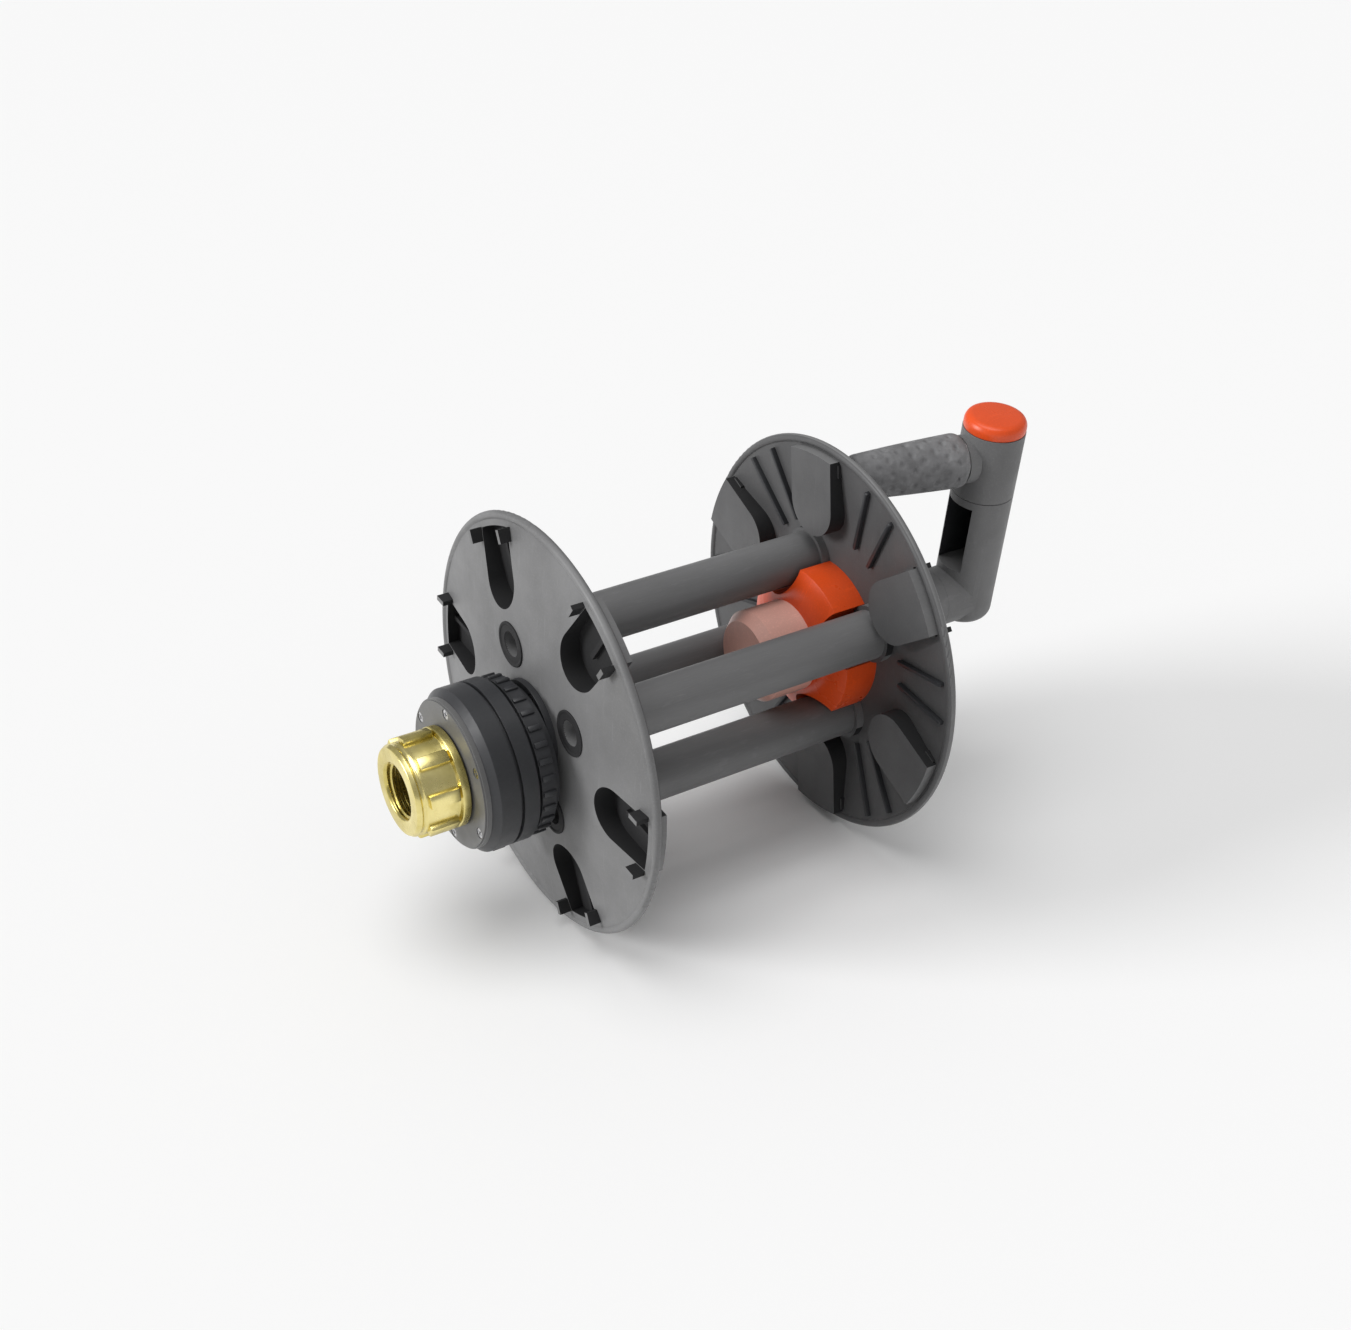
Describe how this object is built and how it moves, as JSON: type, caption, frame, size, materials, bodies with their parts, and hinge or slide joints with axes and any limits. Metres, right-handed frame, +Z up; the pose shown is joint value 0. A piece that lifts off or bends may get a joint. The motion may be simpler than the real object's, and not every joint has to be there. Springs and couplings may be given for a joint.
{
  "type": "hose reel drum",
  "caption": "Garden hose-reel drum: two pocketed flanges on round tubes, a stationary inlet hub with a brass union, and a folding crank with a turning grip.",
  "frame": {"origin": "on the drum axis, at the middle of the crank-side journal that a reel frame carries", "axes": "+X along the drum axis from the inlet to the crank, +Y to the back, +Z up"},
  "size_m": [0.4188, 0.25, 0.253],
  "materials": {
    "flange_plastic": "satin",
    "tube_plastic": "satin",
    "hub_plastic": "satin",
    "ring_plastic": "satin",
    "black_plastic": "satin",
    "grip_plastic": "grained",
    "orange_plastic": "gloss",
    "pale_plastic": "satin",
    "brass": "satin",
    "zinc_steel": "satin",
    "seal_rubber": "matte"
  },
  "bodies": {
    "drum": {"inlet_flange": "flange_plastic", "crank_flange": "flange_plastic", "spool_tube_1": "tube_plastic", "spool_tube_2": "tube_plastic", "spool_tube_3": "tube_plastic", "spool_tube_4": "tube_plastic", "tube_plugs": "black_plastic", "tube_screws": "zinc_steel", "water_spigot": "hub_plastic", "spigot_screws": "zinc_steel", "spigot_o_rings": "seal_rubber", "spigot_circlip": "zinc_steel", "water_tube": "tube_plastic", "hose_outlet": "black_plastic", "drive_hub": "orange_plastic", "pale_bush": "pale_plastic", "drive_shaft": "flange_plastic", "drive_screws": "zinc_steel", "crank_post": "flange_plastic", "crank_bolt": "zinc_steel", "head_screw": "zinc_steel", "head_washer": "zinc_steel"},
    "inlet_hub": {"hub_housing": "hub_plastic", "bearing_bush": "pale_plastic", "hub_gasket": "seal_rubber", "inlet_nipple": "brass", "retaining_ring": "ring_plastic", "ring_screws": "zinc_steel", "nipple_washer": "seal_rubber"},
    "union": {"union_nut": "brass"},
    "crank_head": {"swivel_head": "flange_plastic", "head_cap": "orange_plastic", "grip_pin": "zinc_steel", "grip_washer": "zinc_steel"},
    "grip": {"grip_sleeve": "grip_plastic", "grip_cap": "black_plastic", "grip_screw": "zinc_steel"}
  },
  "joints": [
    {"name": "drum_spin", "type": "hinge", "parent": "drum", "child": "inlet_hub", "pos_m": [-0.2504, 0, 0], "axis": [1, 0, 0], "continuous": true},
    {"name": "union_spin", "type": "hinge", "parent": "inlet_hub", "child": "union", "pos_m": [-0.3014, 0, -0.0125], "axis": [1, 0, 0], "continuous": true},
    {"name": "grip_swing", "type": "hinge", "parent": "drum", "child": "crank_head", "pos_m": [0.083, 0, 0], "axis": [0, 0.1305, -0.9914], "range_deg": [-9, 171]},
    {"name": "grip_spin", "type": "hinge", "parent": "crank_head", "child": "grip", "pos_m": [0.083, -0.01288, 0.09786], "axis": [-0.9877, 0.1551, 0.0204], "continuous": true}
  ]
}
